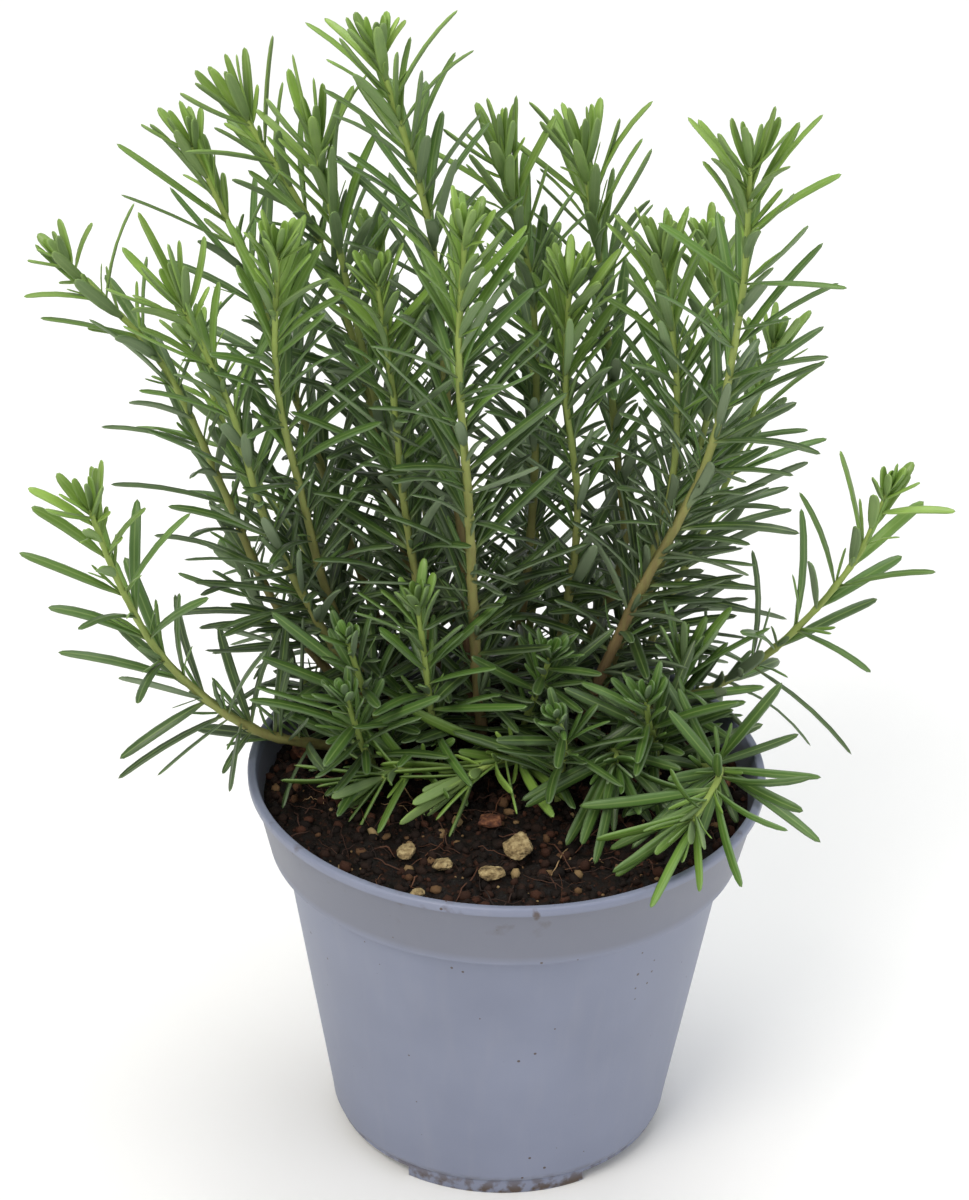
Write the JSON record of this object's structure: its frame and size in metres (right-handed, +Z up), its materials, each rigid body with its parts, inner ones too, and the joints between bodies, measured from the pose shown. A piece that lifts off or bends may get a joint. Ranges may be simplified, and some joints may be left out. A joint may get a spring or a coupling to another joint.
{
  "type": "potted rosemary plant",
  "caption": "Bushy rosemary herb plant with upright leafy shoots and two arching side shoots, rooted in dark potting soil in a round tapered plastic grower's pot.",
  "frame": {"origin": "centre of the pot's standing pad, on the surface that the pot stands on", "axes": "+Z up along the pot's axis; the side with bare soil and the small drooping sprigs faces -Y; the two low arching shoots point to -X and +X"},
  "size_m": [0.228, 0.1604, 0.296],
  "materials": {
    "pot_plastic": "blue-grey moulded polypropylene, satin",
    "potting_soil": "dark moist peat with fibres",
    "pumice": "rough tan pumice",
    "bark": "rough red-brown composted bark",
    "rosemary_foliage": "green leaves, satin above and paler below, on green to brown stems"
  },
  "bodies": {
    "root": {"pot": "pot_plastic", "potting_soil": "potting_soil", "pumice_chip_1": "pumice", "pumice_chip_2": "pumice", "pumice_chip_3": "pumice", "pumice_chip_4": "pumice", "pumice_chip_5": "pumice", "bark_chip_1": "bark", "bark_chip_2": "bark", "bark_chip_3": "bark", "bark_chip_4": "bark", "shoot_front_centre": "rosemary_foliage", "shoot_tall_centre": "rosemary_foliage", "shoot_left_front": "rosemary_foliage", "shoot_left_outer": "rosemary_foliage", "shoot_low_left": "rosemary_foliage", "shoot_low_right": "rosemary_foliage", "shoot_right_tall": "rosemary_foliage", "shoot_right_inner": "rosemary_foliage", "shoot_back_right": "rosemary_foliage", "shoot_centre_right": "rosemary_foliage", "shoot_behind_centre": "rosemary_foliage", "shoot_top_left": "rosemary_foliage", "shoot_left_rear": "rosemary_foliage", "shoot_left_high": "rosemary_foliage", "shoot_left_inner": "rosemary_foliage", "shoot_centre_left": "rosemary_foliage", "shoot_right_rear": "rosemary_foliage", "shoot_back_left": "rosemary_foliage", "shoot_back_centre": "rosemary_foliage", "shoot_back_outer": "rosemary_foliage", "shoot_back_low_left": "rosemary_foliage", "sprig_left_rear": "rosemary_foliage", "sprig_centre": "rosemary_foliage", "sprig_front_left": "rosemary_foliage", "sprig_front": "rosemary_foliage", "sprig_front_right": "rosemary_foliage", "sprig_right": "rosemary_foliage", "sprig_middle_right": "rosemary_foliage", "sprig_middle": "rosemary_foliage", "sprig_middle_left": "rosemary_foliage", "sprig_centre_low": "rosemary_foliage", "sprig_left_middle": "rosemary_foliage", "sprig_right_middle": "rosemary_foliage"}
  },
  "joints": []
}
